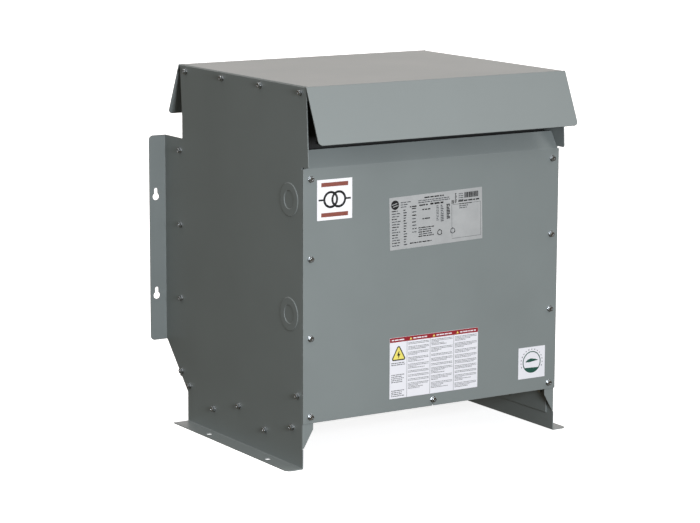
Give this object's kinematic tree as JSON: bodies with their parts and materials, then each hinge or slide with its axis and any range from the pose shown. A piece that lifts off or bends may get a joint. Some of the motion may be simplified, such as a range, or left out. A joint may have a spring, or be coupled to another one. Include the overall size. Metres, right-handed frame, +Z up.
{
  "type": "ventilated dry-type transformer",
  "caption": "Low-voltage dry-type transformer: three coils on a laminated core in a drip-hooded grey steel enclosure with feet, wall flanges, knockouts and a lift-off front cover",
  "frame": {"origin": "on the floor, under the middle of the whole outline", "axes": "+X to the right as seen from the front, +Y from the front cover to the wall, +Z up"},
  "size_m": [0.674, 0.61, 0.739],
  "materials": {
    "enclosure_paint": "light grey textured powder coat",
    "base_steel": "galvanised steel",
    "zinc_hardware": "bright zinc plate",
    "label_film": "printed vinyl film",
    "rating_foil": "printed foil",
    "core_steel": "varnished electrical steel",
    "clamp_paint": "black baked enamel",
    "paper": "aramid board",
    "lv_varnish": "varnished winding",
    "hv_varnish": "varnished winding",
    "glass_polyester": "moulded glass polyester",
    "bar_aluminium": "bare bar",
    "copper": "bare copper",
    "lead_sleeve": "woven sleeve",
    "rubber": "moulded rubber"
  },
  "bodies": {
    "enclosure": {"back_panel": "enclosure_paint", "back_panel_screws": "zinc_hardware", "barrier_tubes": "paper", "base_rail_screws": "zinc_hardware", "board_bolts": "zinc_hardware", "board_standoffs": "zinc_hardware", "bottom_screen": "base_steel", "clamp_insulation": "paper", "coil_blocks": "glass_polyester", "coil_formers": "paper", "core_limbs": "core_steel", "delta_leads": "lead_sleeve", "duct_sticks": "paper", "earth_lug": "bar_aluminium", "earth_lug_set_screw": "zinc_hardware", "earth_screws": "zinc_hardware", "earth_strap": "copper", "front_lower_clamp": "clamp_paint", "front_sill": "enclosure_paint", "front_upper_clamp": "clamp_paint", "front_vent_screen": "base_steel", "hex_nuts": "zinc_hardware", "hv_windings": "hv_varnish", "isolation_pads": "rubber", "left_base_rail": "base_steel", "left_side_panel": "enclosure_paint", "line_terminals": "copper", "lower_yoke": "core_steel", "lv_bars": "bar_aluminium", "lv_pad_bolts": "zinc_hardware", "lv_terminal_board": "glass_polyester", "lv_windings": "lv_varnish", "neutral_bus": "bar_aluminium", "neutral_leads": "bar_aluminium", "pad_bolts": "zinc_hardware", "phase_barriers": "paper", "rear_lower_clamp": "clamp_paint", "rear_sill": "enclosure_paint", "rear_upper_clamp": "clamp_paint", "rear_vent_screen": "base_steel", "right_base_rail": "base_steel", "right_side_panel": "enclosure_paint", "roof_screws": "zinc_hardware", "sill_screws": "zinc_hardware", "tap_boards": "glass_polyester", "tap_links": "copper", "tap_nuts": "zinc_hardware", "tap_studs": "copper", "tap_washers": "copper", "tie_rods": "zinc_hardware", "top_cover": "enclosure_paint", "upper_yoke": "core_steel", "yoke_bolts": "zinc_hardware"},
    "front_cover": {"front_cover": "enclosure_paint", "cover_screws": "zinc_hardware", "maker_label": "label_film", "rating_plate": "rating_foil", "hazard_label": "label_film", "approval_label": "label_film"}
  },
  "joints": [
    {"name": "cover_removal", "type": "slide", "parent": "enclosure", "child": "front_cover", "axis": [0, -1, 0], "range_m": [0, 0.3]}
  ]
}
